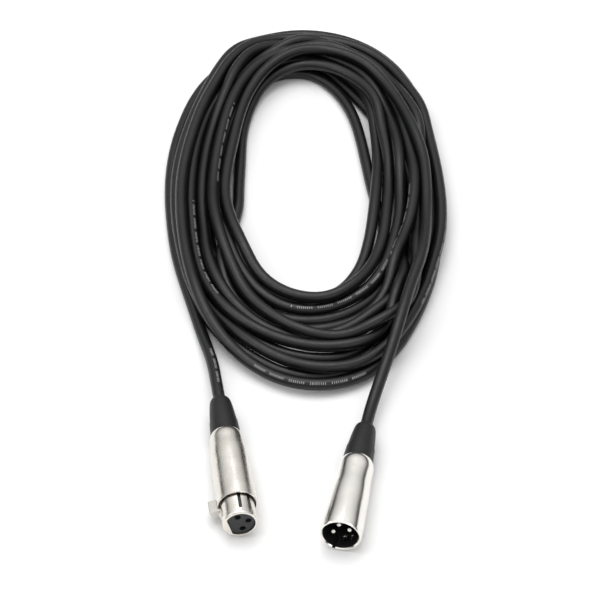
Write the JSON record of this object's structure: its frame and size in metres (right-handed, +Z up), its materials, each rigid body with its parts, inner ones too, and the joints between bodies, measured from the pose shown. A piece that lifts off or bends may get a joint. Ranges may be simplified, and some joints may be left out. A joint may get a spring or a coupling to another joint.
{
  "type": "microphone cable coil",
  "caption": "Balanced microphone cable wound in an oval coil, with a male and a female three-pole connector on its two ends and a sprung latch lever.",
  "frame": {"origin": "on the surface the cable lies on, at the centre of the box round the two connectors (the coil is left out of that box)", "axes": "+Z up, +Y from the connectors towards the coil, +X to the right seen from the connectors, on the side of the male connector"},
  "size_m": [0.1372, 0.3536, 0.019],
  "materials": {
    "nickel_polished": "polished nickel plate over die-cast zinc",
    "nickel_satin": "satin nickel plate, fine grain",
    "latch_metal": "satin cast metal",
    "insert_plastic": "moulded glass-filled plastic",
    "contact_silver": "silver-plated turned brass",
    "spring_steel": "spring steel",
    "screw_steel": "zinc-plated steel",
    "lug_brass": "tinned brass strip",
    "collet_plastic": "natural nylon",
    "boot_rubber": "matte moulded rubber",
    "wire_shield": "tinned copper braid, twisted",
    "wire_red": "coloured conductor insulation",
    "wire_white": "white conductor insulation",
    "cable_jacket": "matte flexible jacket with a fine grain and light print marks"
  },
  "bodies": {
    "root": {"male_shell": "nickel_polished", "male_insert": "insert_plastic", "male_pin_1": "contact_silver", "male_pin_2": "contact_silver", "male_pin_3": "contact_silver", "male_insert_screw": "screw_steel", "male_shield_lug": "lug_brass", "male_strain_relief_collet": "collet_plastic", "male_boot": "boot_rubber", "male_cable_end": "cable_jacket", "male_shield_wire": "wire_shield", "male_hot_wire": "wire_red", "male_cold_wire": "wire_white", "female_sleeve": "nickel_satin", "female_nose": "nickel_satin", "female_insert": "insert_plastic", "female_contact_1": "contact_silver", "female_contact_2": "contact_silver", "female_contact_3": "contact_silver", "latch_pivot_pin": "spring_steel", "latch_leaf_spring": "spring_steel", "female_insert_screw": "screw_steel", "female_shield_lug": "lug_brass", "female_strain_relief_collet": "collet_plastic", "female_boot": "boot_rubber", "female_cable_end": "cable_jacket", "female_shield_wire": "wire_shield", "female_hot_wire": "wire_red", "female_cold_wire": "wire_white", "female_tail": "cable_jacket", "male_tail": "cable_jacket", "cable_coil": "cable_jacket"},
    "latch": {"latch_lever": "latch_metal"}
  },
  "joints": [
    {"name": "latch_press", "type": "hinge", "parent": "root", "child": "latch", "pos_m": [-0.03167, -0.01151, 0.00735], "axis": [-0.2758, -0.0179, 0.9611], "range_deg": [0, 4.5], "stiffness_Nm_per_rad": 0.35, "springref_deg": -5.73, "deforming": ["latch_leaf_spring"]}
  ]
}
